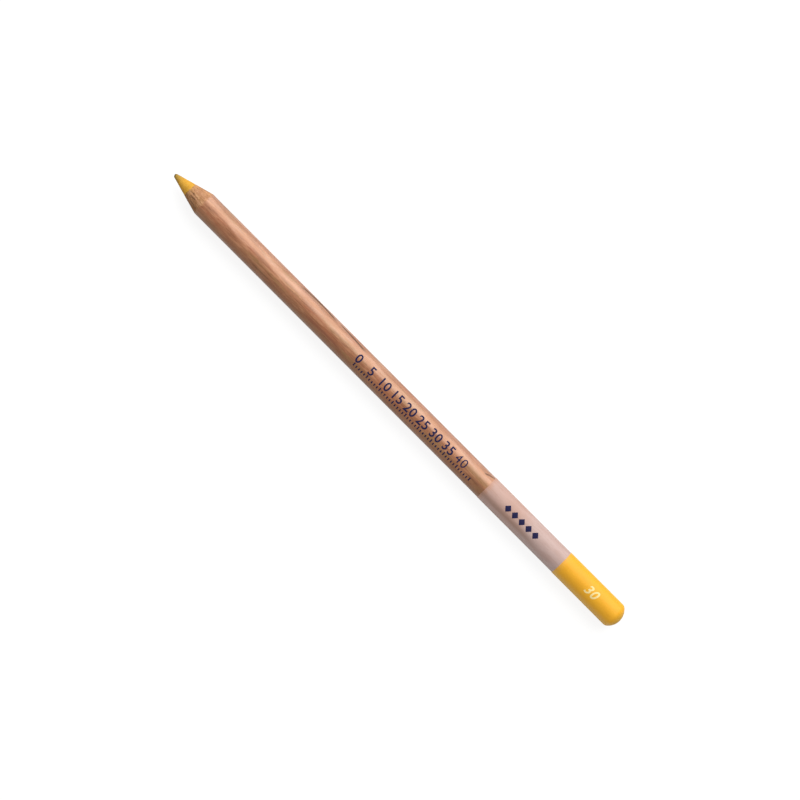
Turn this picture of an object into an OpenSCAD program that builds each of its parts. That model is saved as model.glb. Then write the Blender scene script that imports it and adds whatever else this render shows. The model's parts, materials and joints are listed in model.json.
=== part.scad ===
// Pastel pencil: a round core of pressed pastel between two grooved cedar slats.
// The slats are glued face to face, turned round, sharpened at one end and rounded at the other.
// The rounded end is dipped twice, in pale lacquer and then in the colour of the core.
// The pencil lies along X with its point towards +X, and the origin is the middle of its length.

/* [Pencil] */
// Length from the rounded end to the tip of the point
overall_len = 175; // [120:1:180]
// Diameter of the round wooden barrel
barrel_d = 7.4; // [7:0.1:8]
// Diameter of the pastel core
core_d = 4.3; // [3.5:0.1:5]

/* [Point] */
// Angle between the axis and the sharpened surface, in degrees
point_angle = 15.3; // [11:0.1:18]
// Radius of the worn, blunt tip
tip_r = 0.7; // [0.2:0.05:1]

/* [Rounded end] */
// Radius of the dome, over both coats of lacquer
dome_r = 4.6; // [4.5:0.1:8]
// Radius of the edge between the dome and the side, over both coats
edge_r = 1.5; // [0.3:0.05:2]
// How much the wood is sanded off its radius at the rounded end, running out under the pale dip
end_taper = 0.03; // [0.02:0.01:0.04]

/* [Lacquer] */
// Length that the pale dip covers, from the rounded end
pale_dip_len = 52.4; // [35:0.1:70]
// Length that the coloured dip covers, from the rounded end
colour_dip_len = 23; // [10:0.1:30]
// Thickness of the pale dip on the wood, at the rounded end
pale_dip_t = 0.12; // [0.1:0.01:0.14]
// Thickness of the coloured dip on the pale one, at the rounded end
colour_dip_t = 0.09; // [0.06:0.01:0.12]
// What each dip loses in radius for every millimetre away from that end, where it drained to
drain = 0.0006; // [0.0004:0.0001:0.0007]

/* [Hidden] */
$fn = 96;

barrel_r = barrel_d / 2;
core_r = core_d / 2;
end_r = barrel_r - end_taper;
both_dips_t = pale_dip_t + colour_dip_t;

// Where two outlines would just touch, one moves by a hair so that they cross cleanly.
hair = 0.0001;

// Over the dome every coat has one thickness, because it follows the wood's outline
// about the same two centres. The edge's centre lies at edge_x, edge_y.
wood_dome_r = dome_r - both_dips_t;
wood_edge_r = edge_r - both_dips_t;
edge_x = end_r - wood_edge_r;
dome_to_edge = wood_dome_r - wood_edge_r;
edge_y = dome_r - sqrt(pow(dome_to_edge, 2) - pow(edge_x, 2)) - hair;
edge_turn = asin(edge_x / dome_to_edge);

// The tip is a ball about tip_y, and the sharpened cone meets it touch_rise above its centre.
tip_y = overall_len - tip_r;
touch_rise = tip_r * sin(point_angle);
touch_r = tip_r * cos(point_angle) - hair;
cone_foot_r = touch_r + (tip_y + touch_rise) * tan(point_angle);

cedar = [0.80, 0.58, 0.46];
cedar_below = [0.76, 0.54, 0.42];
pastel_yellow = [0.94, 0.67, 0.16];
pearl = [0.80, 0.69, 0.66];
lacquer_yellow = [0.98, 0.74, 0.20];

// Half sections have the radius along X and the pencil's axis along Y, rounded end at 0.

// What the rounding takes off between the dome and the side.
module edge_waste(edge) {
    reach = 2 * edge_r;
    translate([edge_x, edge_y])
        difference() {
            polygon([[0, 0], [reach, 0], [reach, -reach],
                     reach * [sin(edge_turn), -cos(edge_turn)]]);
            circle(edge);
        }
}

// The rounded end in a given thickness of lacquer, up to far_y, where its radius is far_r.
module end_section(coat, far_r, far_y) {
    side_r = end_r + coat;
    difference() {
        union() {
            intersection() {
                translate([0, dome_r]) circle(wood_dome_r + coat);
                square([side_r, edge_y]);
            }
            polygon([[0, edge_y], [side_r, edge_y], [far_r, far_y], [0, far_y]]);
        }
        edge_waste(wood_edge_r + coat);
    }
}

module wood_outline() {
    end_section(0, barrel_r, pale_dip_len);
    translate([0, pale_dip_len]) square([barrel_r, overall_len - pale_dip_len]);
}

module pale_outline() {
    lost = drain * (pale_dip_len - edge_y);
    end_section(pale_dip_t, end_r + pale_dip_t - lost, pale_dip_len);
}

module colour_outline() {
    lost = 2 * drain * (colour_dip_len - edge_y);
    end_section(both_dips_t, end_r + both_dips_t - lost, colour_dip_len);
}

// All that the sharpener leaves, drawn from the centre of the tip.
module sharpened_section() {
    translate([0, tip_y]) {
        intersection() {
            circle(tip_r);
            square(tip_r);
        }
        polygon([[0, touch_rise], [touch_r, touch_rise], [cone_foot_r, -tip_y], [0, -tip_y]]);
    }
}

// The wood on one side of the axis, with the groove that holds the core.
module wood_section() {
    difference() {
        intersection() {
            wood_outline();
            sharpened_section();
        }
        square([core_r, overall_len]);
    }
}

// Turns a half section about the pencil's axis and lays it along X, point towards +X.
// A half turn that starts at 90 degrees lies above the seam, and one at -90 below it.
module turned(turn = 360, start = 0) {
    translate([-overall_len / 2, 0, 0])
        rotate([0, 90, 0])
            rotate([0, 0, start])
                rotate_extrude(angle = turn) children();
}

module upper_slat() {
    color(cedar) turned(180, 90) wood_section();
}

module lower_slat() {
    color(cedar_below) turned(180, -90) wood_section();
}

module pastel_core() {
    color(pastel_yellow) turned()
        intersection() {
            wood_outline();
            sharpened_section();
            square([core_r, overall_len]);
        }
}

module pale_dip() {
    color(pearl) turned()
        difference() {
            pale_outline();
            wood_outline();
        }
}

module colour_dip() {
    color(lacquer_yellow) turned()
        difference() {
            colour_outline();
            pale_outline();
        }
}

upper_slat();
lower_slat();
pastel_core();
pale_dip();
colour_dip();
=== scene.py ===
# %% [markdown]
# # A pastel pencil, dressed
# The frame holds a pencil as five plain solids: two grooved cedar slats, the pastel core that
# they grip, and two coats of lacquer on the rounded end. Each solid is as smooth as a drawing.
# On the real pencil the sharpener leaves the wood fibrous, the core is grainy and blunt, each
# coat ends in a soft lip, and ink sits on the barrel. This notebook makes the five pieces again
# in the same place as finer meshes, prints the marks, writes a finish for each, and ends with
# the floor, the lamp and the camera.

# %% Open the frame
import json
import math

import bmesh
import bpy
import numpy as np
from mathutils import Matrix, Vector, noise


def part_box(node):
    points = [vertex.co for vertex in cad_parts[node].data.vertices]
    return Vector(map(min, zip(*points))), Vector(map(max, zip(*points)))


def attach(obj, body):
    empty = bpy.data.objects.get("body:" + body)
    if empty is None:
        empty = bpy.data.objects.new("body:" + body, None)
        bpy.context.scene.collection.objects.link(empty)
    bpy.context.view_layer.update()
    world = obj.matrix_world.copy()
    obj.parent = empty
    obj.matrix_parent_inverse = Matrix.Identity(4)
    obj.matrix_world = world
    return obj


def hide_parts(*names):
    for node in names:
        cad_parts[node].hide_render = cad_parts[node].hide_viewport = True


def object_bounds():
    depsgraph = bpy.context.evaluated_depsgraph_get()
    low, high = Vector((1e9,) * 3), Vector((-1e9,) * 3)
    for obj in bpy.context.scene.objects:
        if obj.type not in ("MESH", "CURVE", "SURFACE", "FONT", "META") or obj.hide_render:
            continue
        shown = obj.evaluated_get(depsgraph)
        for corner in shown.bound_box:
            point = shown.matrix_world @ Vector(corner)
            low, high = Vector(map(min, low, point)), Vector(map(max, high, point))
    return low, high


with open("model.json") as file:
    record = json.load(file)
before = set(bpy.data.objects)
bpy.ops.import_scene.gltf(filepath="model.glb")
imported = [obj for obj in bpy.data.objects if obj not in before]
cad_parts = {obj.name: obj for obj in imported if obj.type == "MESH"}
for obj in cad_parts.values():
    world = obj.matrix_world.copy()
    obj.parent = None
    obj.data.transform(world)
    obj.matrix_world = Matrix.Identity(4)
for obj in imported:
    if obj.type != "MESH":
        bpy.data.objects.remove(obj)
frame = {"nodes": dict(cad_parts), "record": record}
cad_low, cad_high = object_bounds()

print("frame:", sorted(frame["nodes"]))

# %% [markdown]
# ## The sizes
# Lengths are in millimetres, as a pencil is thought of, unless a name ends in _m, and meshes are
# scaled to metres as they are made. The pencil lies along X with its point at the high end. The
# frame's boxes give the ends, the radii and the edge of each coat, and the pin mount gives the
# bare barrel, which ends where the sharpened cone starts. Only what no box can tell is written
# as a number: the radii of the dome, of its rounded edge and of the tip, how much is sanded off
# the wood under the coats, and what a coat loses in radius over each millimetre from the dome.

# %% Read the sizes off the frame
MM = 0.001
end_x, tip_x = cad_low.x / MM, cad_high.x / MM
barrel_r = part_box("upper_slat")[1].y / MM
core_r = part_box("pastel_core")[1].y / MM
core_out_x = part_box("upper_slat")[1].x / MM
pale_edge_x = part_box("pale_dip")[1].x / MM
colour_edge_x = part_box("colour_dip")[1].x / MM

bare = next(m for m in frame["record"]["mounts"] if m["name"] == "barrel")
cone_foot_x = bare["pos_m"][0] / MM + bare["dims"]["length_mm"] / 2
cone_slope = (barrel_r - core_r) / (cone_foot_x - core_out_x)

dome_r = 4.6
edge_r = 1.5
tip_r = 0.7
sanded_off = 0.03
drain = 0.0006
wood_pole_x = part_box("pastel_core")[0].x / MM
pale_pole_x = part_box("pale_dip")[0].x / MM
print(f"barrel {barrel_r:.2f}, core {core_r:.2f}, cone from {cone_foot_x:.2f} to {tip_x:.2f}")

# %% [markdown]
# ## Turning on a lathe made of arrays
# All five pieces are turned: a profile goes round the axis. A lathe in Blender could be the
# Screw modifier on a drawn profile, but then every place round the axis is alike. Here the
# points are a grid held in two arrays, `x` and `r`, with a row for each step of the profile and
# a column for each angle. A ragged edge or a torn fibre is then plain arithmetic on the arrays.
# Angles start at the side that faces -Y and pass over the top, +Z, first.

# %% From a grid of points to a piece
WELD = 0.0001


def all_round(row_x, row_r, columns):
    """A whole turn of columns: the grid's x, its radius and the angle of each column."""
    x = np.repeat(row_x[:, None], columns, 1)
    r = np.repeat(row_r[:, None], columns, 1)
    return x, r, np.linspace(0, 2 * math.pi, columns, endpoint=False)


def to_points(x, r, turn):
    """Rows and columns of x and radius as one list of corners, in metres."""
    turn = np.broadcast_to(turn, x.shape)
    return np.stack([x, -r * np.cos(turn), r * np.sin(turn)], -1).reshape(-1, 3) * MM


def put_in_scene(name, data):
    """An object for a mesh, a curve, a lamp or a camera."""
    made = bpy.data.objects.new(name, data)
    bpy.context.scene.collection.objects.link(made)
    return made


def make_piece(name, corners, faces, charts):
    """A mesh object. Charts has a place on the chart for each corner of each face."""
    mesh = bpy.data.meshes.new(name)
    mesh.from_pydata(corners.tolist(), [], faces)
    layer = mesh.uv_layers.new(name="OFBake")
    layer.uv.foreach_set("vector", np.array(charts, np.float32).ravel())
    kneaded = bmesh.new()
    kneaded.from_mesh(mesh)
    bmesh.ops.remove_doubles(kneaded, verts=kneaded.verts, dist=WELD * MM)
    bmesh.ops.recalc_face_normals(kneaded, faces=kneaded.faces)
    kneaded.to_mesh(mesh)
    kneaded.free()
    mesh.shade_smooth()
    print(f"{name}: {len(mesh.vertices)} corners, {len(mesh.polygons)} faces")
    return put_in_scene(name, mesh)


# %% [markdown]
# ## A chart for each piece
# When a finish is baked, each face needs a place on a square chart. A pencil is long and thin,
# so one long strip would waste nearly all of the square. The profile is cut into bands
# instead: each band of rows fills the width of the chart and gets a share of its height, so
# what shows gets room and what is hidden inside gets a sliver.

# %% Lay the rows out in bands
CHART_GAP = 0.006


def band_heights(shares):
    """The height range of each band on the chart, from its share."""
    room = 1 - CHART_GAP * (len(shares) + 1)
    heights, low = [], CHART_GAP
    for share in shares:
        high = low + room * share / sum(shares)
        heights.append((low, high))
        low = high + CHART_GAP
    return heights


def chart_steps(x, r, borders, heights):
    """For each step from a row to the next, its start and stop across the chart and its band's
    heights. Borders are the rows between the bands, with the first and the last."""
    middle_x, middle_r = x.mean(1), r.mean(1)
    step = np.hypot(np.roll(middle_x, -1) - middle_x, np.roll(middle_r, -1) - middle_r)
    steps = [None] * len(x)
    for first, last, (low, high) in zip(borders, borders[1:], heights):
        run = np.concatenate([[0], np.cumsum(step[first:last])])
        run = CHART_GAP + run / run[-1] * (1 - 2 * CHART_GAP)
        for row in range(first, last):
            steps[row] = (run[row - first], run[row - first + 1], low, high)
    return steps


def turned_faces(x, steps, whole):
    """Quads between rows. A whole turn closes round the axis, and a half turn closes its rows."""
    rows, columns = x.shape
    across = columns if whole else columns - 1
    faces, charts = [], []
    for row in range(rows - 1 if whole else rows):
        start, stop, low, high = steps[row]
        after = (row + 1) % rows
        for column in range(across):
            beside = (column + 1) % columns
            faces.append((row * columns + column, row * columns + beside,
                          after * columns + beside, after * columns + column))
            bottom = low + (high - low) * column / across
            top = low + (high - low) * (column + 1) / across
            charts += [(start, bottom), (start, top), (stop, top), (stop, bottom)]
    return faces, charts


# %% [markdown]
# ## The rounded end
# The end of the pencil is a low dome of 4.6 mm radius that is rounded into the side. The
# wood and both coats share the same two centres, so a coat is the same arc drawn with a larger
# radius. One function gives the profile of any of them from the place of its pole, which is
# where the axis comes out of the dome.

# %% Profile of the dome and its edge
edge_centre_r = cad_high.y / MM - edge_r
edge_centre_x = end_x + dome_r - math.sqrt((dome_r - edge_r) ** 2 - edge_centre_r ** 2)
dome_turn = math.asin(edge_centre_r / (dome_r - edge_r))


def rounded_end(pole_x, dome_steps=18, edge_steps=8):
    """x and radius from the pole, over the dome and round the edge to the foot of the side."""
    inside = pole_x - end_x
    dome = dome_r - inside
    edge = edge_r - inside
    over = np.linspace(0, dome_turn, dome_steps)
    round_edge = np.linspace(dome_turn, math.pi / 2, edge_steps)[1:]
    x = np.concatenate([end_x + dome_r - dome * np.cos(over),
                        edge_centre_x - edge * np.cos(round_edge)])
    r = np.concatenate([dome * np.sin(over),
                        edge_centre_r + edge * np.sin(round_edge)])
    return x, r


side_x, side_r = (ends[-1] for ends in rounded_end(end_x))
print(f"the dome is {side_x - end_x:.2f} mm deep and meets the side at {side_r:.2f} mm")

# %% [markdown]
# ## Roughness from noise
# Wood and pastel are uneven in ways that no one would model by hand. `noise.fractal` gives a
# smooth random number for any place in space, and the same one at every run. Stretching the
# space before asking makes the unevenness long in one direction, as wood fibres are.

# %% Noise on an array of places
NOISE_FALL = 0.8


def fractal(places, octaves, finer=2.1):
    """Noise of about -1 to 1 at each place. Each octave is so many times finer than the last,
    and weaker by the fall."""
    return np.array([noise.fractal(Vector(place), NOISE_FALL, finer, octaves) for place in places])


def noise_at(x, r, turn, stretch, octaves=3, offset=0.0):
    """Noise for each point of a grid. Stretch is repeats per millimetre along and across."""
    along, across = stretch
    turn = np.broadcast_to(turn, x.shape)
    y = -r * np.cos(turn) * across
    z = r * np.sin(turn) * across
    places = np.stack([x * along + offset, y, z], -1).reshape(-1, 3)
    return fractal(places, octaves).reshape(x.shape)


def noise_round(y, z, level, finer=2.1):
    """Noise along a ring of places, all at one level of their own."""
    return fractal(np.stack([y, z, np.full_like(y, level)], -1), 3, finer)


def smooth_step(value, low, high):
    """0 below low, 1 above high and a soft S between."""
    share = np.clip((value - low) / (high - low), 0, 1)
    return share * share * (3 - 2 * share)


# %% [markdown]
# ## The cedar slats
# The casing is two cedar slats glued face to face round the core, so each is a half tube. The
# sharpener bares the wood on the cone: fibres are torn out in short pits there, and the wood
# ends in a thin ragged rim where the core comes out. The barrel is smooth under its varnish.
# Each slat is a closed solid: its outer rows run from the rounded end to the rim, and the same
# number of rows runs back inside the groove, so that the two flat faces of the seam are strips
# between matching rows.

# %% How far the sharpener left the wood
rim_set_back = 0.16
rim_wave = 0.14
splinter_length = 0.55
cone_corner = 0.05


def cone_at(x):
    """Radius of the cone that a perfect sharpener would cut."""
    return core_r + cone_slope * (x - core_out_x)


def rim_at(turn):
    """Where the wood ends: a little short of the perfect cone, in waves and torn splinters."""
    y, z = -np.cos(turn), np.sin(turn)
    wave = noise_round(y * 1.6, z * 1.6, 3.7)
    torn = noise_round(y * 9, z * 9, 8.2)
    splinters = splinter_length * np.clip(torn - 0.05, 0, 1)
    return core_out_x - rim_set_back + rim_wave * wave - splinters


def wood_outside(x):
    """Radius of the wood before the fibres are raised: taper under the lacquer, barrel, cone."""
    under_coats = np.clip((pale_edge_x - x) / (pale_edge_x - edge_centre_x), 0, 1)
    side = barrel_r - sanded_off * under_coats
    cone = cone_at(x)
    share = np.clip(0.5 + (side - cone) / (2 * cone_corner), 0, 1)
    return cone * share + side * (1 - share) - cone_corner * share * (1 - share)


# %% The slat's profile, row by row
wood_dome = dome_r - (wood_pole_x - end_x)
wood_end_x = end_x + dome_r - math.sqrt(wood_dome ** 2 - core_r ** 2)


def slat_rows(turn):
    """x and radius of the outside, from the groove at the rounded end to the ragged rim,
    and the rows where the bare barrel and the cut wood start."""
    dome_x, dome_radius = rounded_end(wood_pole_x)
    solid = dome_radius > core_r
    ends_x = np.concatenate([[wood_end_x], dome_x[solid]])
    ends_r = np.concatenate([[core_r], dome_radius[solid]])
    coat_x, corner_from_x, corner_to_x = pale_edge_x - 0.5, cone_foot_x - 0.6, cone_foot_x + 0.3
    hidden_x = np.linspace(ends_x[-1], coat_x, 12)[1:]
    bare_x = np.linspace(coat_x, corner_from_x, 61)[1:]
    corner_x = np.linspace(corner_from_x, corner_to_x, 16)[1:]
    cut = np.linspace(0, 1, 110)[1:, None]
    cut_x = (1 - cut) * corner_x[-1] + cut * rim_at(turn)[None, :]
    even = np.concatenate([ends_x, hidden_x, bare_x, corner_x])
    x = np.concatenate([np.repeat(even[:, None], len(turn), 1), cut_x])
    r = wood_outside(x)
    r[:len(ends_r)] = ends_r[:, None]
    bare_row = len(ends_x) + len(hidden_x) - 1
    return x, r, bare_row, bare_row + len(bare_x) + len(corner_x) // 2


# %% Torn fibres and the glued seam
fibre_height = 0.03
pit_depth = 0.07
scratch_depth = 0.004
hairline_depth = 0.012
hairline_width = 0.05


def raise_fibres(x, r, turn):
    """Pits and ridges where the sharpener has cut, and a hairline where the slats are glued."""
    sharpened = smooth_step(x, cone_foot_x - 0.1, cone_foot_x + 0.6)
    fibres = noise_at(x, r, turn, (0.35, 7.0))
    pits = noise_at(x, r, turn, (0.5, 5.0), 2, 40.0)
    scratches = noise_at(x, r, turn, (9.0, 0.6), 2, 80.0)
    thickness = np.clip((r - core_r) / 0.3, 0.1, 1)
    relief = (fibre_height * fibres - pit_depth * smooth_step(pits, 0.2, 0.6)
              + scratch_depth * scratches)
    to_seam = np.abs(np.sin(turn)) * barrel_r
    bare = smooth_step(x, pale_edge_x, pale_edge_x + 0.5)
    hairline = hairline_depth * np.exp(-(to_seam / hairline_width) ** 2) * bare
    return r + (relief * sharpened - hairline) * thickness


# %% The flat faces of the seam
slat_columns = 190


def seam_faces(outer, rows, heights):
    """Strips between an outer row and the row inside the groove that lies opposite it.
    The first and the last face have three corners, because the rows meet there."""
    faces, charts = [], []
    for column, (low, high) in zip((0, slat_columns - 1), heights):
        for row in range(outer - 1):
            start, stop = row / outer, (row + 1) / outer
            ring = [(row, start, low), (row + 1, stop, low),
                    (rows - row - 1, stop, high), (rows - row, start, high)]
            if row == 0:
                ring.pop()
            if row == outer - 2:
                ring.pop(2)
            faces.append([at * slat_columns + column for at, _, _ in ring])
            charts += [place[1:] for place in ring]
    return faces, charts


# %% Turn one slat
# Shares of the chart: under the coats, three lengths of barrel, cut wood, groove, two seam faces.
slat_shares = [0.3, 4, 4, 4, 3, 0.3, 0.15, 0.15]


def cedar_slat(name, side):
    """A half tube. Side is 0 for the slat above the seam and 1 for the one below. Columns stand
    closer at the seam, and a last row turns the torn rim inwards onto the core."""
    spread = np.linspace(0, 1, slat_columns)
    closer_at_seam = 0.02 * np.sin(2 * math.pi * spread)
    turn = math.pi * (side + spread - closer_at_seam)
    x, r, bare_row, cut_row = slat_rows(turn)
    r = raise_fibres(x, r, turn)
    ledge_x, ledge_r = x[-1:] + 0.012, np.full((1, slat_columns), core_r - 0.02)
    x, r = np.concatenate([x, ledge_x]), np.concatenate([r, ledge_r])

    outer = len(x)
    x = np.concatenate([x, x[-2:0:-1]])
    r = np.concatenate([r, np.full((outer - 2, slat_columns), core_r)])
    third = (cut_row - bare_row) // 3
    borders = [0, bare_row, bare_row + third, bare_row + 2 * third, cut_row, outer - 1, len(x)]
    heights = band_heights(slat_shares)
    steps = chart_steps(x, r, borders, heights)
    faces, charts = turned_faces(x, steps, whole=False)
    seam, seam_charts = seam_faces(outer, len(x), heights[-2:])
    return make_piece(name, to_points(x, r, turn), faces + seam, charts + seam_charts)


upper_cedar = cedar_slat("upper_cedar", 0)
lower_cedar = cedar_slat("lower_cedar", 1)

# %% [markdown]
# ## The pastel core
# The core is a rod of pressed pigment, softer than the wood. On the point it is grainy like a
# stick of chalk, stands a touch lower than the wood round it, and its tip is worn blunt, more
# on one side than on the other. The blunt faces are made by pressing every point that lies
# beyond a slanted plane back onto that plane.

# %% Turn the core
core_columns = 240
grain_height = 0.016
lump_height = 0.02
below_wood = 0.025
worn_depth = 0.12


def worn(points):
    """Presses the tip against two slanted planes, as drawing with it does."""
    for lean, side in ((1.1, 2.75), (0.5, 0.6)):
        sideways = math.sin(lean)
        normal = np.array([math.cos(lean), sideways * math.cos(side), sideways * math.sin(side)])
        reach = (points @ normal).max() - worn_depth * MM
        beyond = np.clip(points @ normal - reach, 0, None)
        points = points - 0.92 * beyond[:, None] * normal
    return points


def core_rows():
    """x and radius from the pole of the dome to the tip, and the first row that shows."""
    dome_x, dome_radius = rounded_end(wood_pole_x)
    flat = dome_radius < core_r
    rod_x = np.linspace(wood_end_x, core_out_x - 0.6, 14)
    point_x = np.linspace(core_out_x - 0.6, tip_x - 1.15, 130)[1:]
    round_tip = np.linspace(-math.atan(cone_slope), math.pi / 2, 34)
    ball_x = tip_x - tip_r + tip_r * np.sin(round_tip)
    ball_r = tip_r * np.cos(round_tip)
    ball_r[-1] = 0
    x = np.concatenate([dome_x[flat], rod_x, point_x, ball_x])
    r = np.concatenate([dome_radius[flat], np.minimum(core_r, cone_at(rod_x)),
                        np.minimum(core_r, cone_at(point_x)), ball_r])
    return x, r, int(flat.sum()) + len(rod_x) - 2


def pastel_rod():
    """A whole turn, grainy and a touch lower than the wood where it shows."""
    row_x, row_r, shown_row = core_rows()
    x, r, turn = all_round(row_x, row_r, core_columns)
    shown = smooth_step(x, core_out_x - 0.45, core_out_x + 0.1) * np.clip(r / 0.5, 0, 1)
    grain = noise_at(x, r, turn, (3.2, 3.2), 4)
    lumps = noise_at(x, r, turn, (0.9, 0.9), 2, 20.0)
    relief = grain_height * grain + lump_height * lumps - below_wood
    r = np.clip(r + shown * relief, 0, core_r)
    points = to_points(x, r, turn)
    near_tip = points[:, 0] > (tip_x - 2.5) * MM
    points[near_tip] = worn(points[near_tip])
    steps = chart_steps(x, r, [0, shown_row, len(x) - 1], band_heights([0.4, 10]))
    faces, charts = turned_faces(x, steps, whole=True)
    return make_piece("core", points, faces, charts)


core = pastel_rod()

# %% [markdown]
# ## Two coats of lacquer
# The end of the pencil is dipped in pale lacquer, and when that is dry, less deep in yellow.
# A dip leaves a coat about a tenth of a millimetre thick that thins towards its edge, where
# the lacquer stopped in a soft lip with a faint bead behind it. A plain cylinder with a colour
# change would lose that step, which catches the light, so each coat is a cup with an outside,
# a lip and an inside.

# %% The side of a coat
FINE_ROWS_FROM = 1.2
bead_from_lip = 0.28
bead_width = 0.16


def coat_side(run, start_r, lip_r, lip_thickness):
    """Places along the side, closer near the lip, and the radius there with bead and lip."""
    coarse = np.linspace(0, run - FINE_ROWS_FROM, 40)[1:]
    fine = run - np.geomspace(FINE_ROWS_FROM, 0.004, 36)[1:]
    side = np.concatenate([coarse, fine])
    before_lip = run - side
    straight = start_r + (lip_r - start_r) * side / run
    bead = 0.10 * lip_thickness * np.exp(-((before_lip - bead_from_lip) / bead_width) ** 2)
    rounding = np.clip(1 - before_lip / (1.6 * lip_thickness), 0, 1)
    return side, straight + bead - lip_thickness * (1 - np.sqrt(1 - rounding ** 2))


# %% Turn one coat
coat_columns = 256
inside_gap = 0.002


def lacquer_cup(name, node, under_pole_x, under_lip_r, lip_thickness, wander, hidden_to_x):
    """A dipped coat. Under is what it covers, wander is how far its edge strays from a straight
    ring, and the next coat hides it up to a place, if there is one."""
    pole_x, lip_x = (corner.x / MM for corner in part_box(node))
    out_x, out_r = rounded_end(pole_x, 28, 14)
    in_x, in_r = rounded_end(under_pole_x, 10, 5)
    lip_r = under_lip_r + lip_thickness
    side, side_r = coat_side(lip_x - out_x[-1], out_r[-1], lip_r, lip_thickness)
    inner_x = np.linspace(lip_x, in_x[-1], 24)
    inner_r = under_lip_r + (in_r[-1] - under_lip_r) * (lip_x - inner_x) / (lip_x - in_x[-1])

    row_x = np.concatenate([out_x, out_x[-1] + side, inner_x, in_x[::-1][1:]])
    row_r = np.concatenate([out_r, side_r, inner_r + inside_gap, in_r[::-1][1:]])
    x, r, turn = all_round(row_x, row_r, coat_columns)
    sway = noise_round(np.cos(turn) * 1.4, np.sin(turn) * 1.4, lip_x, finer=2.0)
    x = x + smooth_step(x, lip_x - 2.5, lip_x) * wander * sway

    outside = len(out_x) + len(side)
    borders, shares = [0, outside, len(x) - 1], [10, 0.5]
    if hidden_to_x is not None:
        borders.insert(1, int(np.argmax(row_x > hidden_to_x)))
        shares.insert(0, 0.6)
    steps = chart_steps(x, r, borders, band_heights(shares))
    faces, charts = turned_faces(x, steps, whole=True)
    return make_piece(name, to_points(x, r, turn), faces, charts)


# %% Turn both coats
pale_lip = 0.06
yellow_lip = 0.077
pale_r = edge_centre_r + edge_r - (pale_pole_x - end_x)
under_yellow_r = pale_r - drain * (colour_edge_x - edge_centre_x)
pale_lacquer = lacquer_cup("pale_lacquer", "pale_dip", wood_pole_x, barrel_r, pale_lip,
                           wander=0.05, hidden_to_x=colour_edge_x - 0.6)
yellow_lacquer = lacquer_cup("yellow_lacquer", "colour_dip", pale_pole_x, under_yellow_r,
                             yellow_lip, wander=0.04, hidden_to_x=None)
print(f"pale coat ends at {pale_edge_x:.1f}, yellow coat at {colour_edge_x:.1f}")

# %% [markdown]
# ## Ink
# A maker prints on the side that faces up: here a numbered millimetre scale on the barrel, a row
# of lozenges on the pale coat and a number on the yellow end. An ink mark could be painted in a
# material, but a stamped mark has crisp edges and a thickness of its own, so each is a thin
# solid. The marks are drawn flat, sliced into narrow strips, given a thickness, and then rolled
# round the pencil: the height on the drawing becomes an angle.

# %% Draw flat marks
FONT_CAP_HEIGHT = 0.72
LETTER_SPACING = 1.12


def add_outline(flat, corners):
    """One flat face from its corners."""
    flat.faces.new([flat.verts.new((u, v, 0)) for u, v in corners])


def add_figures(flat, figures, centre_u, centre_v, height, lean=0.0, weight=0.0):
    """Figures from Blender's own font, centred on a place. Weight thickens their strokes."""
    drawn = bpy.data.curves.new("figures", "FONT")
    drawn.body = figures
    drawn.fill_mode = "FRONT"
    drawn.align_x = "CENTER"
    drawn.size = height / FONT_CAP_HEIGHT
    drawn.shear = lean
    drawn.offset = weight
    drawn.space_character = LETTER_SPACING
    drawn.resolution_u = 6
    holder = put_in_scene("figures", drawn)
    bpy.context.view_layer.update()
    evaluated = holder.evaluated_get(bpy.context.evaluated_depsgraph_get())
    mesh = bpy.data.meshes.new_from_object(evaluated)
    mesh.transform(Matrix.Translation((centre_u, centre_v - height / 2, 0)))
    flat.from_mesh(mesh)
    bpy.data.objects.remove(holder)
    bpy.data.curves.remove(drawn)
    bpy.data.meshes.remove(mesh)


# %% [markdown]
# ## Rolling the marks on
# The ink stands a hundredth of a millimetre high, with roots in the surface so that no gap
# shows. Its tops are shaded smooth from strip to strip, and their edges stay sharp. Extruding
# leaves a mesh in an order that changes from run to run, so its parts are sorted at the end.

# %% Roll the marks round the pencil
INK_THICKNESS = 0.008
INK_ROOTS = 0.006
INK_WELD = 0.0005
STRIP_HEIGHT = 0.12
SHARP_FROM = math.radians(40)


def order_of(part):
    """The places of a part's corners, which sort it the same way at every run."""
    return sorted(tuple(corner.co) for corner in getattr(part, "verts", [part]))


def roll_on(name, flat, start_x, surface_r):
    """Marks read from the point towards the rounded end, and their tops face -Y. The surface
    that they go on is a radius for each x."""
    bmesh.ops.remove_doubles(flat, verts=flat.verts, dist=INK_WELD)
    heights = [vertex.co.y for vertex in flat.verts]
    for level in np.arange(min(heights), max(heights), STRIP_HEIGHT)[1:]:
        everything = flat.verts[:] + flat.edges[:] + flat.faces[:]
        bmesh.ops.bisect_plane(flat, geom=everything, plane_co=(0, level, 0), plane_no=(0, 1, 0))
    raised = bmesh.ops.extrude_face_region(flat, geom=flat.faces[:], use_keep_orig=True)["geom"]
    for vertex in (part for part in raised if isinstance(part, bmesh.types.BMVert)):
        vertex.co.z = 1
    for vertex in flat.verts:
        x = start_x - vertex.co.x
        r = surface_r(x) + (INK_THICKNESS if vertex.co.z > 0.5 else -INK_ROOTS)
        turn = vertex.co.y / surface_r(x)
        vertex.co = Vector((x, -r * math.sin(turn), r * math.cos(turn))) * MM
    bmesh.ops.recalc_face_normals(flat, faces=flat.faces)
    for parts in (flat.verts, flat.edges, flat.faces):
        for index, part in enumerate(sorted(parts, key=order_of)):
            part.index = index
        parts.sort()
    mesh = bpy.data.meshes.new(name)
    flat.to_mesh(mesh)
    flat.free()
    mesh.shade_smooth()
    mesh.set_sharp_from_angle(angle=SHARP_FROM)
    print(f"{name}: {len(mesh.polygons)} faces")
    return put_in_scene(name, mesh)


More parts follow.
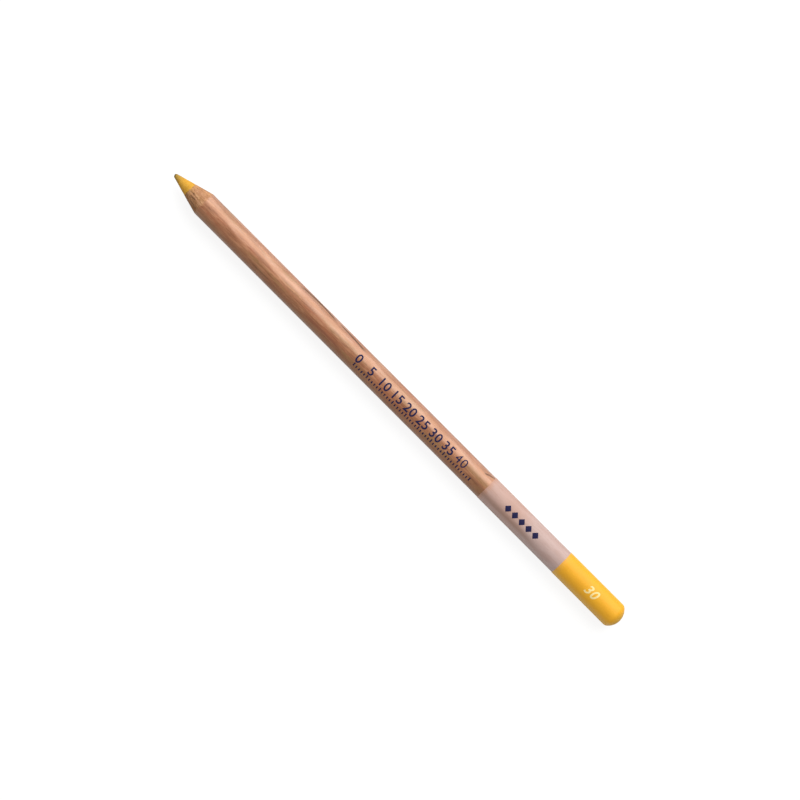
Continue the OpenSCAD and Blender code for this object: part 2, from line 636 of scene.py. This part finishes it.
# %% A millimetre scale on the barrel
scale_start_x = tip_x - 72.5
scale_mm = 45
line_width = 0.38
line_foot = -2.5
long_line, short_line = 1.15, 0.8
figure_height = 2.7


def barrel_scale():
    """Lines at every millimetre, and a longer one at every fifth. A number stands over each
    long line but the last."""
    flat = bmesh.new()
    for at in range(scale_mm + 1):
        left, right = at - line_width / 2, at + line_width / 2
        top = line_foot + (short_line if at % 5 else long_line)
        add_outline(flat, [(left, line_foot), (right, line_foot), (right, top), (left, top)])
    for number in range(0, scale_mm, 5):
        # The strokes of a 4 would cross each other if they were thickened.
        weight = 0.0 if "4" in str(number) else 0.065
        add_figures(flat, str(number), number, 0.3, figure_height, weight=weight)
    return roll_on("barrel_scale", flat, scale_start_x, lambda x: barrel_r)


scale_ink = barrel_scale()

# %% Lozenges on the pale coat
lozenge_start_x = tip_x - 130.9
lozenge_pitch = 2.65
lozenge_centre = 0.1


def pale_surface(x):
    """Radius of the pale coat, which thins from the dome to its lip."""
    far_r = barrel_r + pale_lip
    return far_r + (pale_r - far_r) * (pale_edge_x - x) / (pale_edge_x - edge_centre_x)


def lozenge_row(half_width=1.1, half_height=1.2):
    """Five lozenges in a row along the pencil."""
    flat = bmesh.new()
    for number in range(5):
        u, v = number * lozenge_pitch, lozenge_centre
        add_outline(flat, [(u - half_width, v), (u, v - half_height),
                           (u + half_width, v), (u, v + half_height)])
    return roll_on("pale_coat_lozenges", flat, lozenge_start_x, pale_surface)


lozenge_ink = lozenge_row()

# %% A plain number on the yellow end
number_x = tip_x - 163.4


def yellow_surface(x):
    """Radius of the yellow coat, which thins twice over, with the pale one under it."""
    return cad_high.y / MM - 2 * drain * (x - edge_centre_x)


def cap_number():
    """A leaning number, a little bolder than the scale's."""
    flat = bmesh.new()
    add_figures(flat, "30", 0, 0.2, 2.75, lean=0.3, weight=0.08)
    return roll_on("end_number", flat, number_x, yellow_surface)


number_ink = cap_number()

# %% [markdown]
# ## Writing finishes as sums
# A finish is a tree of nodes, and most of it is arithmetic. A `Wire` is one output in the tree:
# adding or multiplying wires adds the Math node that does it, so a mask can be written as a
# sum. A `Finish` holds the tree, and its one method `add` puts in any node: its type, its
# settings and what goes into its sockets.

# %% A wire and the arithmetic on it
class Wire:
    """One output of a node. Sums on wires become Math nodes, or Vector Math nodes for vectors."""

    def __init__(self, finish, socket):
        self.finish = finish
        self.socket = socket

    def sum(self, operation, first, second):
        kind = "VectorMath" if self.socket.type == "VECTOR" else "Math"
        return self.finish.add(kind, {"operation": operation}, {0: first, 1: second})

    def __add__(self, other):
        return self.sum("ADD", self, other)

    def __sub__(self, other):
        return self.sum("SUBTRACT", self, other)

    def __rsub__(self, other):
        return self.sum("SUBTRACT", other, self)

    def __mul__(self, other):
        return self.sum("MULTIPLY", self, other)

    def __truediv__(self, other):
        return self.sum("DIVIDE", self, other)

    def __rtruediv__(self, other):
        return self.sum("DIVIDE", other, self)

    __radd__ = __add__
    __rmul__ = __mul__


# %% A finish and the one way to add to it
class Finish:
    """A node tree being written, with its closing shader to hand."""

    def __init__(self, owner, shader):
        owner.use_nodes = True
        self.owner = owner
        self.tree = owner.node_tree
        self.shader = self.tree.nodes[shader]

    def feed(self, socket, value):
        """A wire is linked, and anything else is set on the socket."""
        if isinstance(value, Wire):
            self.tree.links.new(value.socket, socket)
        elif socket.type == "RGBA" and len(value) == 3:
            socket.default_value = (*value, 1)
        else:
            socket.default_value = value

    def add(self, kind, settings=None, inputs=None, output=0):
        """A node of a kind, with its settings first and then what goes into its sockets."""
        node = self.tree.nodes.new("ShaderNode" + kind)
        for setting, value in (settings or {}).items():
            if setting == "stops":
                self.set_stops(node.color_ramp, value)
            else:
                setattr(node, setting, value)
        for socket, value in (inputs or {}).items():
            self.feed(node.inputs[socket], value)
        return Wire(self, node.outputs[output])

    def set_stops(self, ramp, stops):
        """Places and colours along a ramp."""
        while len(ramp.elements) < len(stops):
            ramp.elements.new(0.5)
        for element, (place, colour) in zip(ramp.elements, stops):
            element.position = place
            element.color = (*colour, 1)

    def surface(self, **sockets):
        """Sets or links sockets of the closing shader, with _ for a space."""
        for name, value in sockets.items():
            self.feed(self.shader.inputs[name.replace("_", " ")], value)


def new_finish(name):
    return Finish(bpy.data.materials.new(name), "Principled BSDF")


def dress(piece, finish):
    """Gives a piece its one finish."""
    piece.data.materials.append(finish.owner)
    print(f"{piece.name} wears {finish.owner.name}: {len(finish.tree.nodes)} nodes")


# %% [markdown]
# ## Words for patterns
# A few patterns come again and again: where a point is in millimetres, noise stretched along
# the grain, a soft threshold that turns a number into a mask, and one colour laid over another.
# Each gets a short word.

# %% Short words for common nodes
def place_of(finish):
    """The point being shaded, in millimetres from the middle of the pencil."""
    spot = finish.add("TexCoord", output="Object")
    return finish.add("VectorMath", {"operation": "SCALE"}, {0: spot, "Scale": 1 / MM})


def part_of(vector, axis):
    return vector.finish.add("SeparateXYZ", inputs={0: vector}, output=axis)


def cloud(place, along, across, shift=0.0, detail=3.0, roughness=0.55):
    """Soft noise round one half, with so many repeats a millimetre along the pencil and across."""
    space = place * (along, across, across) + (shift, shift, shift)
    return place.finish.add("TexNoise", inputs={"Vector": space, "Scale": 1.0, "Detail": detail,
                                                "Roughness": roughness})


def size_of(value):
    return value.finish.add("Math", {"operation": "ABSOLUTE"}, {0: value})


def mask(value, low, high):
    """0 below low, 1 above high and smooth between. Swap the two for the opposite mask."""
    return value.finish.add("MapRange", {"interpolation_type": "SMOOTHSTEP"},
                            {"Value": value, "From Min": low, "From Max": high})


def laid_over(under, over, share):
    """One colour over another, by a share. The share or the colour underneath is a wire."""
    finish = (share if isinstance(share, Wire) else under).finish
    return finish.add("Mix", {"data_type": "RGBA"}, {"Factor": share, 6: under, 7: over}, output=2)


def bump(height, depth, strength=1.0):
    """A normal from a height. Depth is how many millimetres a height of 1 stands for."""
    return height.finish.add("Bump", inputs={"Height": height, "Distance": depth * MM,
                                             "Strength": strength}, output="Normal")


# %% [markdown]
# ## Cedar
# Pencil cedar is straight in the grain: growth rings a millimetre or two apart, dark where the
# summer wood ends and pale again at once, with fine fibres along them. A picture of wood would
# look pasted on, and would not match where the cone cuts across the grain. The rings are
# worked out in space instead, as distance from a pith line that lies well outside the pencil
# and leans a little, so they run as long thin arches on the barrel and close into tongues on
# the cone. Each slat comes from another place in the board, so each has its own pith line.

# %% Growth rings in space
RING_PITCH = 1.45
RING_WANDER = 2.6
CEDAR_EARLY = (0.370, 0.145, 0.066)
CEDAR_LATE = (0.225, 0.072, 0.026)
CEDAR_DARK = (0.075, 0.026, 0.009)
CEDAR_PALE = (0.50, 0.225, 0.115)
CEDAR_OLIVE = (0.27, 0.135, 0.045)
CEDAR_RED = (0.33, 0.095, 0.038)


def ring_colour(wood, place, pith, lean, shift):
    """Early to late wood across each ring, with some rings fainter than others."""
    off_pith = (place - (0, *pith)) * (0, 1, 1)
    distance = wood.add("VectorMath", {"operation": "LENGTH"}, {0: off_pith}, output="Value")
    wander = cloud(place, 0.035, 0.22, shift, 2.0)
    age = (distance + part_of(place, "X") * lean + wander * RING_WANDER) / RING_PITCH
    across_ring = wood.add("Math", {"operation": "FRACT"}, {0: age})
    ring_number = wood.add("Math", {"operation": "FLOOR"}, {0: age})
    faintness = wood.add("TexWhiteNoise", {"noise_dimensions": "1D"}, {"W": ring_number})
    stops = [(0.0, CEDAR_EARLY), (0.45, CEDAR_EARLY), (0.86, CEDAR_LATE), (0.95, CEDAR_LATE),
             (1.0, CEDAR_EARLY)]
    ramp = wood.add("ValToRGB", {"stops": stops}, {"Fac": across_ring})
    return laid_over(ramp, CEDAR_EARLY, 0.25 + faintness * 0.6)


# %% Fibres and drifts of tone
def with_fibres(colour, place, shift):
    """Long fibres a tenth of a millimetre wide, short dark pores, and slow drifts of tone."""
    tone = cloud(place, 0.08, 0.5, shift + 5)
    figure = cloud(place, 0.16, 1.3, shift + 12)
    fibres = cloud(place, 0.15, 5.0, shift, 4.0, 0.65)
    flecks = cloud(place, 0.35, 3.2, shift + 15, 2.0)
    pores = cloud(place, 0.9, 13.0, shift + 9, 2.0)
    for pattern, other, low, high, most in (
            (tone, CEDAR_RED, 0.51, 0.64, 0.75), (tone, CEDAR_OLIVE, 0.48, 0.36, 0.75),
            (figure, CEDAR_LATE, 0.52, 0.66, 0.8), (figure, CEDAR_PALE, 0.47, 0.34, 0.8),
            (fibres, CEDAR_DARK, 0.52, 0.72, 0.5), (fibres, CEDAR_PALE, 0.47, 0.28, 0.6),
            (flecks, CEDAR_DARK, 0.58, 0.72, 0.4), (flecks, CEDAR_PALE, 0.42, 0.28, 0.5),
            (pores, CEDAR_DARK, 0.62, 0.73, 0.45)):
        colour = laid_over(colour, other, mask(pattern, low, high) * most)
    return colour


# %% [markdown]
# ## Streaks
# A few dark streaks mark this piece of cedar: a long thin arch on one side of the barrel, a
# red-brown one on the other, and two short ones where the pale coat begins. Wide faint ones are
# painted light and shade: a pale painted highlight where the barrel mirrors the lamp, with a
# fainter band of pale sapwood beside it, painted shade over the side away from the lamp, and
# greyer painted shade along the seam on that side. Noise would never put them there, so each is
# drawn as a curved line in its own place. The lacquer over the wood lets a few through, and a
# streak wider than the whole way round is a ring.

# %% One curved streak as a mask
FRAYED_DEGREES = 6


def streak(along, angle, from_tip, half_length, at, slant, bend, width):
    """A line that is strongest in its middle. All but its place and length is in degrees."""
    travel = (along - (tip_x - from_tip)) / half_length
    travelled = travel * travel
    line = travel * slant + travelled * bend + at
    fading = mask(travelled, 1.0, 0.3)
    return mask(size_of(angle - line), width, 0.0) * fading


def with_streaks(colour, place, streaks, roughening):
    """Every streak's colour laid on by its strength. Roughening is a noise that frays them."""
    along, across, up = (part_of(place, axis) for axis in "XYZ")
    turn = place.finish.add("Math", {"operation": "ARCTAN2"}, {0: across * -1, 1: up})
    angle = turn * math.degrees(1) + (roughening - 0.5) * FRAYED_DEGREES
    for shape, other, strength in streaks:
        colour = laid_over(colour, other, streak(along, angle, *shape) * strength)
    return colour


# %% [markdown]
# ## Varnish and the cut
# On the barrel the cedar is under a thin satin varnish, which deepens it and makes it shine.
# The sharpener took the varnish off with the wood, so the cone is dry, a little yellower, and
# matt. One mask along the pencil, with its border at the foot of the cone, turns the coat off,
# roughens the surface and raises the fibres. Pigment from the core has dusted the wood nearest
# to it, and some torn fibres have gone dark. The varnish isn't even: it lies thicker on one side
# of the barrel and in patches, and it has sunk into the darkest wood.

# %% Dry wood on the cone
DRY_CEDAR = (0.62, 0.33, 0.145)
DRY_PALE = (0.80, 0.46, 0.25)
DRY_DARK = (0.30, 0.14, 0.055)
TORN_FIBRE = (0.09, 0.035, 0.012)
PASTEL_DUST = (0.78, 0.42, 0.07)


def dry_cedar(colour, place, along, shift):
    """Wood without varnish, in pale and dark lumps, with torn fibres and dust from the core."""
    dry = laid_over(colour, DRY_CEDAR, 0.5)
    lumps = cloud(place, 0.2, 2.4, shift + 6, 4.0, 0.6)
    dry = laid_over(dry, DRY_PALE, mask(lumps, 0.5, 0.62) * 0.7)
    dry = laid_over(dry, DRY_DARK, mask(lumps, 0.46, 0.36) * 0.6)
    torn = mask(cloud(place, 0.28, 4.0, shift + 7), 0.55, 0.64)
    near_core = mask(along, cone_foot_x + 0.8, core_out_x - 1.5)
    dry = laid_over(dry, TORN_FIBRE, torn * (0.25 + near_core * 0.3))
    dust = mask(cloud(place, 1.2, 2.5, shift + 2), 0.45, 0.7)
    near_rim = mask(along, core_out_x - 2.2, core_out_x)
    return laid_over(dry, PASTEL_DUST, near_rim * (0.15 + dust * 0.45))


def varnish_on(place, grain, shift):
    """How much varnish lies on the barrel: more on the side that faces -Y, and in patches."""
    patches = mask(cloud(place, 0.14, 0.9, shift + 30), 0.38, 0.62)
    faces_side = mask(part_of(place, "Y") * -1 + (grain - 0.5) * 2, -0.8, 1.0)
    return faces_side * (0.25 + patches * 0.6) + 0.05


# %% Write the cedar finish
CUT_BLUR = 0.35
CUT_RAGGEDNESS = 1.8
GLUE_LINE = 0.05


def cedar_finish(name, pith, lean, shift, streaks):
    """Pith is the middle of the rings in Y and Z, and shift the slat's place in the board."""
    wood = new_finish(name)
    place = place_of(wood)
    along = part_of(place, "X")
    colour = with_fibres(ring_colour(wood, place, pith, lean, shift), place, shift)

    ragged = cloud(place, 0.6, 2.5, shift + 3)
    border = along + (ragged - 0.5) * CUT_RAGGEDNESS
    cut = mask(border, cone_foot_x - CUT_BLUR, cone_foot_x + CUT_BLUR)
    colour = laid_over(colour, dry_cedar(colour, place, along, shift), cut)
    frayed = cloud(place, 0.6, 3.0, shift)
    colour = with_streaks(colour, place, streaks, frayed)
    seam = mask(size_of(part_of(place, "Z")), GLUE_LINE, 0.0)
    colour = laid_over(colour, CEDAR_DARK, seam * 0.55)

    grain = cloud(place, 0.25, 9.0, shift, 4.0, 0.6)
    fuzz = cloud(place, 0.5, 9.0, shift + 4, 4.0, 0.65)
    height = grain * (1 - cut) * 0.25 + fuzz * cut
    sunk_in = mask(wood.add("RGBToBW", inputs={"Color": colour}), 0.14, 0.04)
    wood.surface(Base_Color=colour,
                 Roughness=0.36 + grain * 0.14 + sunk_in * 0.3 + cut * 0.45,
                 Specular_Tint=(1.0, 0.70, 0.52),
                 Specular_IOR_Level=1.0,
                 Coat_Weight=(1 - cut) * (1 - sunk_in) * varnish_on(place, grain, shift),
                 Coat_Roughness=0.4,
                 Normal=bump(height, 0.05, 0.9))
    return wood


# %% Dress the slats
DARK_STREAK = (0.05, 0.02, 0.009)
RED_STREAK = (0.22, 0.065, 0.03)
# Pale sapwood, also used as a painted highlight where the barrel mirrors the lamp.
PALE_SAPWOOD_AND_HIGHLIGHT = (0.62, 0.31, 0.18)
# Painted shade for the side of the barrel away from the lamp.
PAINTED_WOOD_SHADE = (0.22, 0.085, 0.028)
BARE_PALE = (0.72, 0.38, 0.22)
# Painted shade for the edge of the barrel away from the lamp, along the seam.
PAINTED_EDGE_SHADE = (0.06, 0.07, 0.05)

# In each row: from the tip, half length, angle, slant, bend and width; the colour; its strength.
# Painted shade along the seam, the edge of the barrel away from the lamp, on both slats.
painted_shade_along_seam = ((70, 140, -90, 0, 0, 42), PAINTED_EDGE_SHADE, 0.45)
upper_streaks = [painted_shade_along_seam,
                 # A pale painted highlight where the barrel mirrors the lamp, then a fainter band
                 # of pale sapwood.
                 ((70, 90, 25, 0, 2, 24), PALE_SAPWOOD_AND_HIGHLIGHT, 0.48),
                 ((70, 90, 54, 0, 0, 20), PALE_SAPWOOD_AND_HIGHLIGHT, 0.2),
                 # Painted shade over the side of the barrel away from the lamp.
                 ((78, 95, -60, 0, -3, 60), PAINTED_WOOD_SHADE, 0.6),
                 ((54.0, 8, 65, 0, -14, 12), DARK_STREAK, 0.95),
                 ((67.2, 6, 56, 7, 0, 10), DARK_STREAK, 0.95),
                 ((60, 8, -27, 0, -4, 11), RED_STREAK, 0.8),
                 ((40.5, 4, 9, 4, -3, 6), PALE_SAPWOOD_AND_HIGHLIGHT, 0.5),
                 ((36, 4, -37, 0, 2, 5), DARK_STREAK, 0.5),
                 ((121.1, 2.0, 53, -15, 0, 9), DARK_STREAK, 0.8),
                 ((120.5, 5, -19, 0, 1, 12), DARK_STREAK, 0.42),
                 ((7.4, 1.2, -1, 0, -3, 7), DARK_STREAK, 0.55),
                 ((8.4, 1.2, -20, -3, 0, 7), DARK_STREAK, 0.6),
                 ((9.8, 1.8, -46, 0, 5, 8), DARK_STREAK, 0.45),
                 ((6.4, 0.7, -38, 0, 0, 14), DARK_STREAK, 0.5),
                 ((9.0, 2.8, -10, 3, 0, 6), BARE_PALE, 0.7)]
lower_streaks = [painted_shade_along_seam,
                 ((48, 16, -118, 0, 8, 5), DARK_STREAK, 0.8),
                 ((96, 11, 140, 0, -7, 7), RED_STREAK, 0.7),
                 ((30, 8, 165, 0, 5, 5), DARK_STREAK, 0.6)]
dress(upper_cedar, cedar_finish("cedar_above", (14.0, 31.0), 0.012, 3.0, upper_streaks))
dress(lower_cedar, cedar_finish("cedar_below", (-22.0, -17.0), -0.016, 57.0, lower_streaks))

# %% [markdown]
# ## Pressed pastel
# A pastel core is pigment, chalk and very little binder, so it has no shine at all. Its colour
# is uneven in specks, a little darker in the scratches of the sharpener, and the blunt end has
# picked up dirt from the paper. Specks come from fine noise, and the darkening from two masks, a
# faint one of dirt on the last three millimetres and a dark one on the tip, which is dirt and
# painted shade on its rounded end.

# %% Write the pastel finish
PASTEL = (0.74, 0.36, 0.04)
PASTEL_SPECK = (0.90, 0.55, 0.085)
PASTEL_PATCH = (0.55, 0.24, 0.015)
PASTEL_SCRATCH = (0.42, 0.19, 0.02)
HANDLED_PASTEL = (0.34, 0.24, 0.06)
TIP_DIRT_AND_SHADE = (0.11, 0.085, 0.03)


def pastel_finish():
    """Matt and speckled, with scratches round the point, a dirty end, and painted shade on the tip.
    """
    pastel = new_finish("pressed_pastel")
    place = place_of(pastel)
    along = part_of(place, "X")
    specks = cloud(place, 7.0, 7.0, 0.0, 4.0, 0.7)
    patches = cloud(place, 0.9, 0.9, 11.0, 2.0)
    colour = laid_over(PASTEL, PASTEL_SPECK, mask(specks, 0.4, 0.7))
    colour = laid_over(colour, PASTEL_PATCH, mask(patches, 0.48, 0.75) * 0.4)
    scratches = cloud(place, 11.0, 0.8, 5.0, 2.0)
    colour = laid_over(colour, PASTEL_SCRATCH, mask(scratches, 0.58, 0.75) * 0.35)
    worn_end = mask(along + (patches - 0.5) * 0.9, tip_x - 3.4, tip_x - 0.7)
    colour = laid_over(colour, HANDLED_PASTEL, worn_end * 0.65)
    # Dirt from the paper, with painted shade on the rounded tip.
    dirt_and_shade_at_tip = mask(along + (specks - 0.5) * 0.5, tip_x - 0.75, tip_x - 0.1)
    colour = laid_over(colour, TIP_DIRT_AND_SHADE, dirt_and_shade_at_tip * 0.75)
    pastel.surface(Base_Color=colour, Roughness=0.88 + specks * 0.1,
                   Specular_IOR_Level=0.2,
                   Normal=bump(specks + scratches * 0.4, 0.04, 0.9))
    return pastel


dress(core, pastel_finish())

# %% [markdown]
# ## Pale lacquer and yellow lacquer
# The pale coat is thin and a little pearly. The grain of the cedar shows through as a faint
# warm shadow, so its colour is mixed with a stretched noise like the wood's, and at its thin lip
# with the wood's own colour. The yellow coat covers better. Both are given painted shade on the
# dome, and on the side away from the lamp the pale coat has a darker streak of painted shade and
# the yellow coat a lighter streak of painted light.
# Both have the shallow ripple of lacquer that dried hanging, which bends the reflections without
# any roughness, so it goes into the bump at a low strength. Both are shinier along a strip on
# the side that the figures' feet point to.

# %% Write the lacquer finishes
def lacquer_finish(name, colour, warmer, show_through, coat, lip_x, beneath, painted_end_shade, streaks):
    """Warmer is its colour over the grain, beneath shows at the lip, and painted_end_shade is
    painted shade on the dome.
    """
    lacquer = new_finish(name)
    place = place_of(lacquer)
    along, side, up = (part_of(place, axis) for axis in "XYZ")
    drift = cloud(place, 0.12, 0.5, 21.0, 2.0)
    grain = cloud(place, 0.15, 3.2, 3.0)
    shade = laid_over(colour, warmer, mask(drift, 0.42, 0.72) * 0.5)
    shade = laid_over(shade, warmer, mask(grain, 0.5, 0.72) * show_through)
    near_lip = mask(along + (grain - 0.5) * 2.5, lip_x - 1.6, lip_x + 0.2)
    shade = laid_over(shade, beneath, near_lip * 0.35)
    shade = with_streaks(shade, place, streaks, grain)
    # Painted shade on the dome, where the end turns away from the lamp.
    end_shade_mask = mask(along + (drift - 0.5) * 0.6, end_x + 1.8, end_x + 0.4)
    shade = laid_over(shade, painted_end_shade, end_shade_mask * 0.5)
    polished = mask(side, 2.0, 3.1) * mask(up, 0.9, 2.1)
    ripple = cloud(place, 0.5, 0.9, 4.0, 2.0)
    fine = cloud(place, 5.0, 5.0, 6.0, 2.0)
    lacquer.surface(Base_Color=shade,
                    Roughness=0.5 + fine * 0.08,
                    Specular_IOR_Level=0.3,
                    Coat_Weight=coat + polished * 0.7, Coat_Roughness=0.45,
                    Normal=bump(ripple + fine * 0.05, 0.05, 0.5))
    return lacquer


# %% Dress both coats
WOOD_THROUGH = (0.52, 0.19, 0.06)
ALL_ROUND = 900

# Both coats get painted shade on the dome.
dress(pale_lacquer, lacquer_finish(
    "pale_pearl_lacquer", colour=(0.56, 0.40, 0.36), warmer=(0.47, 0.30, 0.25),
    show_through=0.6, coat=0.15, lip_x=pale_edge_x, beneath=WOOD_THROUGH, painted_end_shade=(0.5, 0.36, 0.32),
    streaks=[((124, 16, 0, 0, 0, ALL_ROUND), WOOD_THROUGH, 0.2),
             # The second streak is a darker wedge on the side away from the lamp: painted shade,
             # warm like the grain.
             ((124, 22, -30, 2, 0, 22), (0.30, 0.17, 0.12), 0.55)]))
dress(yellow_lacquer, lacquer_finish(
    "yellow_lacquer", colour=(0.91, 0.44, 0.016), warmer=(0.86, 0.39, 0.014),
    show_through=0.3, coat=0.1, lip_x=colour_edge_x, beneath=(0.80, 0.44, 0.12),
    # The streak is painted light: a paler yellow on the side away from the lamp.
    painted_end_shade=(0.62, 0.38, 0.025), streaks=[((163, 60, -80, 0, 0, 50), (0.98, 0.58, 0.02), 0.5)]))

# %% [markdown]
# ## Printing ink
# Printing ink lies thin on lacquer and varnish. Its colour is even, with a little of what is
# beneath where the stamp pressed less, and it dries a touch more matt than what it lies on.

# %% Write the ink finishes
def ink_finish(name, colour, thin):
    """Thin is the colour where the stamp pressed less."""
    ink = new_finish(name)
    place = place_of(ink)
    coverage = cloud(place, 6.0, 6.0)
    shade = laid_over(colour, thin, mask(coverage, 0.58, 0.75) * 0.4)
    ink.surface(Base_Color=shade, Roughness=0.55 + coverage * 0.15,
                Specular_IOR_Level=0.15,
                Normal=bump(coverage, 0.004, 0.5))
    return ink


navy = ink_finish("navy_ink", (0.013, 0.012, 0.058), (0.022, 0.020, 0.085))
dress(scale_ink, navy)
dress(lozenge_ink, navy)
dress(number_ink, ink_finish("pale_ink", (0.96, 0.77, 0.34), (0.94, 0.67, 0.20)))

# %% [markdown]
# ## Tying the pieces to the frame
# A pencil has no joints, so every piece rides on the one body. Each turned piece stands for
# one solid of the frame, which is hidden; the ink stands for nothing.

# %% Ride and replace
for piece, node, slot in ((upper_cedar, "upper_slat", "cedar"),
                          (lower_cedar, "lower_slat", "cedar"),
                          (core, "pastel_core", "pastel"),
                          (pale_lacquer, "pale_dip", "pearl_lacquer"),
                          (yellow_lacquer, "colour_dip", "yellow_lacquer")):
    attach(piece, "root")
    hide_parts(node)
for piece, slot in ((scale_ink, "navy_ink"), (lozenge_ink, "navy_ink"), (number_ink, "pale_ink")):
    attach(piece, "root")

# %% [markdown]
# ## The floor
# The pencil lies on a plain white sheet. A sheet lit as plainly as the pencil renders light
# grey, and more light would bleach the pencil too. So the camera, and anything that reflects,
# sees the sheet with some white of its own added, while the light that it throws back onto the
# pencil stays that of a plain sheet. The shadow is still cast on it.

# %% Lay the sheet
SHEET_HALF_M = 1.5
SHEET_GREY = 0.25
SHEET_GLOW = 0.84


def seen_directly(finish):
    """1 for rays from the camera, off a gloss or through glass, and 0 for light thrown back."""
    camera = finish.add("LightPath", output="Is Camera Ray")
    glossy = finish.add("LightPath", output="Is Glossy Ray")
    clear = finish.add("LightPath", output="Is Transmission Ray")
    both = finish.add("Math", {"operation": "MAXIMUM"}, {0: camera, 1: glossy})
    return finish.add("Math", {"operation": "MAXIMUM"}, {0: both, 1: clear})


def sheet():
    """A square of paper under the pencil, which touches it."""
    mesh = bpy.data.meshes.new("sheet")
    corners = [(x * SHEET_HALF_M, y * SHEET_HALF_M, cad_low.z)
               for x, y in ((-1, -1), (1, -1), (1, 1), (-1, 1))]
    mesh.from_pydata(corners, [], [(0, 1, 2, 3)])
    floor = put_in_scene("sheet", mesh)
    paper = new_finish("white_sheet")
    paper.surface(Base_Color=(SHEET_GREY,) * 3, Roughness=0.9, Specular_IOR_Level=0.0,
                  Emission_Color=(1, 1, 1), Emission_Strength=seen_directly(paper) * SHEET_GLOW)
    dress(floor, paper)


sheet()

# %% [markdown]
# ## The light
# One large soft lamp stands low on the side that the figures' tops face, and shines square to
# the pencil: it lights that side, leaves a soft shade on the other, and draws a broad satin
# highlight along the barrel where it mirrors the lamp. The world is a white room that fills
# the shade. As with the sheet, what is seen directly is white and what lights things is dimmer.

# %% Hang the lamp
lamp_from_top = math.radians(54)
lamp_distance_m = 0.75

light = bpy.data.lights.new("side_lamp", "AREA")
light.shape = "RECTANGLE"
light.size, light.size_y = 1.0, 0.8
light.energy = 7.2
lamp = put_in_scene("side_lamp", light)
back = Vector((0, -math.sin(lamp_from_top), math.cos(lamp_from_top)))
square_on = back.to_track_quat("Z", "X").to_matrix().to_4x4()
lamp.matrix_world = Matrix.Translation(back * lamp_distance_m) @ square_on
print(f"lamp of {light.energy} W, {lamp_distance_m} m from the pencil")

# %% Light the room
room_fill = 0.45

room = bpy.data.worlds.new("white_room")
bpy.context.scene.world = room
walls = Finish(room, "Background")
walls.surface(Color=(1, 1, 1), Strength=seen_directly(walls) * (1 - room_fill) + room_fill)

# %% [markdown]
# ## The camera
# The pencil is seen from straight above with a long lens, which keeps its sides parallel. It
# runs from the upper left to the lower right, so the camera is turned about its own line of
# sight. It takes in a square of 222 mm at the pencil, whose middle is a little off the origin.

# %% Set up the camera
picture_width_m = 0.22212
slant = math.radians(45.087)
right = Vector((-math.cos(slant), -math.sin(slant), 0))
above = Vector((math.sin(slant), -math.cos(slant), 0))
middle = 0.00079 * right - 0.00064 * above

lens = bpy.data.cameras.new("long_lens")
lens.lens = 135
lens.sensor_width = 36
camera_height = picture_width_m * lens.lens / lens.sensor_width
camera = put_in_scene("camera", lens)
turn_to = Matrix((right, above, Vector((0, 0, 1)))).transposed().to_4x4()
camera.matrix_world = Matrix.Translation(middle + Vector((0, 0, camera_height))) @ turn_to
bpy.context.scene.camera = camera
bpy.context.scene.view_settings.view_transform = "Standard"
print(f"camera {camera_height * 1000:.0f} mm above the pencil")
